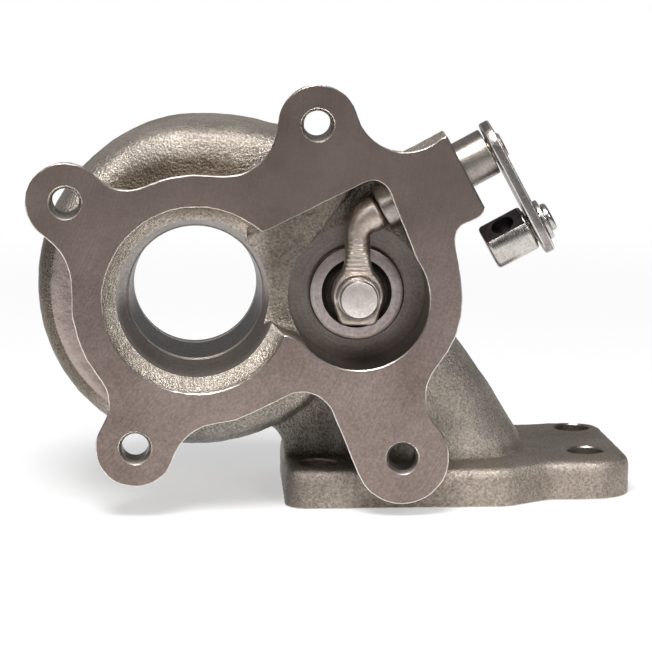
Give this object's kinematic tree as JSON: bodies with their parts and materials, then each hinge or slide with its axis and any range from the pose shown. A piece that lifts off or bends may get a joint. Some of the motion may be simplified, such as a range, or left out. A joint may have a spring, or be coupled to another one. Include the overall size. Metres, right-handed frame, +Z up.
{
  "type": "turbocharger turbine housing",
  "caption": "Cast turbine housing with lobed outlet flange, scroll, inlet foot and a swinging wastegate valve worked by an outside crank lever and swivel block.",
  "frame": {"origin": "on the ground under the middle of the whole part, which stands on its inlet foot", "axes": "+X to the side where the foot and crank lever reach out, +Y from the outlet flange to the bearing side along the turbine axis, +Z up"},
  "size_m": [0.1604, 0.0724, 0.1132],
  "materials": {
    "cast_skin": "shot-blasted cast skin with machined faces",
    "bush_steel": "fine turned",
    "forged_steel": "forged and blasted",
    "valve_steel": "turned",
    "lever_steel": "stamped and tumbled",
    "block_steel": "turned and milled",
    "washer_steel": "stamped"
  },
  "bodies": {
    "housing": {"turbine_housing": "cast_skin", "wastegate_bush": "bush_steel"},
    "wastegate": {"wastegate_arm": "forged_steel", "crank_lever": "lever_steel"},
    "valve": {"valve_flap": "valve_steel", "valve_washer": "washer_steel"},
    "swivel": {"swivel_block": "block_steel", "swivel_washer": "washer_steel"}
  },
  "joints": [
    {"name": "wastegate_swing", "type": "hinge", "parent": "housing", "child": "wastegate", "pos_m": [0.00555, -0.0262, 0.0764], "axis": [-0.8829, 0, -0.4695], "range_deg": [0, 45]},
    {"name": "valve_spin", "type": "hinge", "parent": "wastegate", "child": "valve", "pos_m": [0.00555, -0.0262, 0.0571], "axis": [0, 1, 0], "continuous": true},
    {"name": "swivel_turn", "type": "hinge", "parent": "wastegate", "child": "swivel", "pos_m": [0.05231, -0.0262, 0.07578], "axis": [0.8829, 0, 0.4695], "continuous": true}
  ]
}
